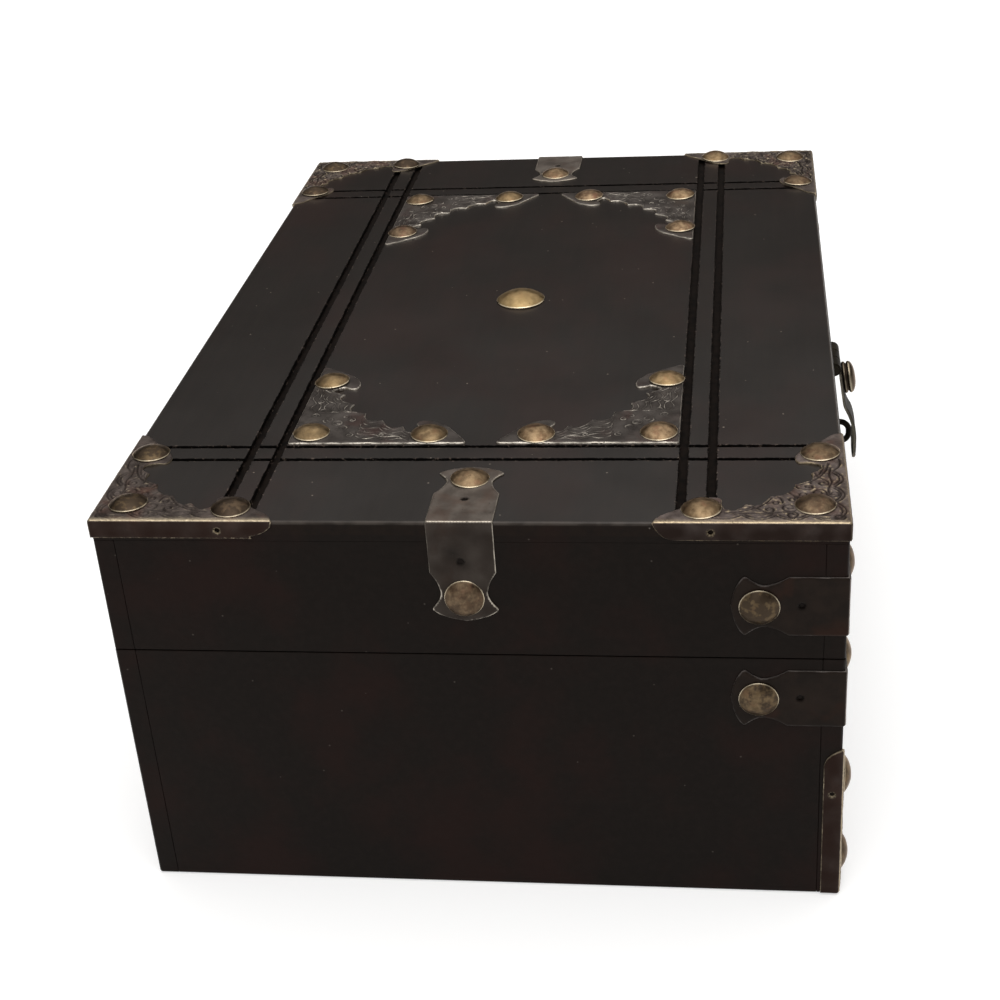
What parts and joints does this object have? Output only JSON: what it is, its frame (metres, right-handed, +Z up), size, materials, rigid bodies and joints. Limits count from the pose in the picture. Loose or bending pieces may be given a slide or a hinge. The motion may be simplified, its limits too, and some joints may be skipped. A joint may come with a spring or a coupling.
{
  "type": "treasure chest box",
  "caption": "Shallow rectangular wooden chest with a hinged hollow lid, lobed metal corner plates and straps under dome nails, a grooved top and a front hasp over a staple",
  "frame": {"origin": "middle of the underside of the box, on the surface it stands on", "axes": "+X along the length, from the left end to the right end; +Y from the front, which has the hasp, to the back, which has the hinges; +Z up"},
  "size_m": [0.3112, 0.2202, 0.1279],
  "materials": {
    "stained_wood": "satin",
    "plate_bronze": "satin",
    "nail_brass": "polished"
  },
  "bodies": {
    "base": {"base_front_board": "stained_wood", "base_back_board": "stained_wood", "base_left_board": "stained_wood", "base_right_board": "stained_wood", "base_bottom_board": "stained_wood", "bottom_corner_bracket_left": "plate_bronze", "bottom_corner_bracket_right": "plate_bronze", "base_corner_strap_left": "plate_bronze", "base_corner_strap_right": "plate_bronze", "hinge_left_base_leaf": "plate_bronze", "hinge_right_base_leaf": "plate_bronze", "hinge_left_pin": "plate_bronze", "hinge_right_pin": "plate_bronze", "staple_plate": "plate_bronze", "staple_loop": "plate_bronze", "staple_tacks": "nail_brass", "hinge_base_tacks": "nail_brass", "base_strap_nails": "nail_brass", "bottom_bracket_nails": "nail_brass"},
    "lid": {"lid_top_board": "stained_wood", "lid_front_rail": "stained_wood", "lid_back_rail": "stained_wood", "lid_left_rail": "stained_wood", "lid_right_rail": "stained_wood", "lid_corner_plate_front_left": "plate_bronze", "lid_corner_plate_front_right": "plate_bronze", "lid_corner_plate_back_left": "plate_bronze", "lid_corner_plate_back_right": "plate_bronze", "panel_corner_plate_front_left": "plate_bronze", "panel_corner_plate_front_right": "plate_bronze", "panel_corner_plate_back_left": "plate_bronze", "panel_corner_plate_back_right": "plate_bronze", "lid_end_strap_left": "plate_bronze", "lid_end_strap_right": "plate_bronze", "lid_corner_strap_left": "plate_bronze", "lid_corner_strap_right": "plate_bronze", "hinge_left_lid_leaf": "plate_bronze", "hinge_right_lid_leaf": "plate_bronze", "hasp_fixed_leaf": "plate_bronze", "hasp_pin": "plate_bronze", "hasp_tacks": "nail_brass", "hinge_lid_tacks": "nail_brass", "lid_corner_nails": "nail_brass", "panel_nails": "nail_brass", "end_strap_nails": "nail_brass", "lid_strap_nails": "nail_brass", "centre_nail": "nail_brass"},
    "hasp": {"hasp_strap": "plate_bronze", "hasp_knob": "nail_brass"}
  },
  "joints": [
    {"name": "lid_hinge", "type": "hinge", "parent": "base", "child": "lid", "pos_m": [0, 0.1047, 0.08235], "axis": [-1, 0, 0], "range_deg": [0, 180]},
    {"name": "hasp_hinge", "type": "hinge", "parent": "lid", "child": "hasp", "pos_m": [0, -0.1052, 0.1015], "axis": [-1, 0, 0], "range_deg": [-14, 118]}
  ]
}
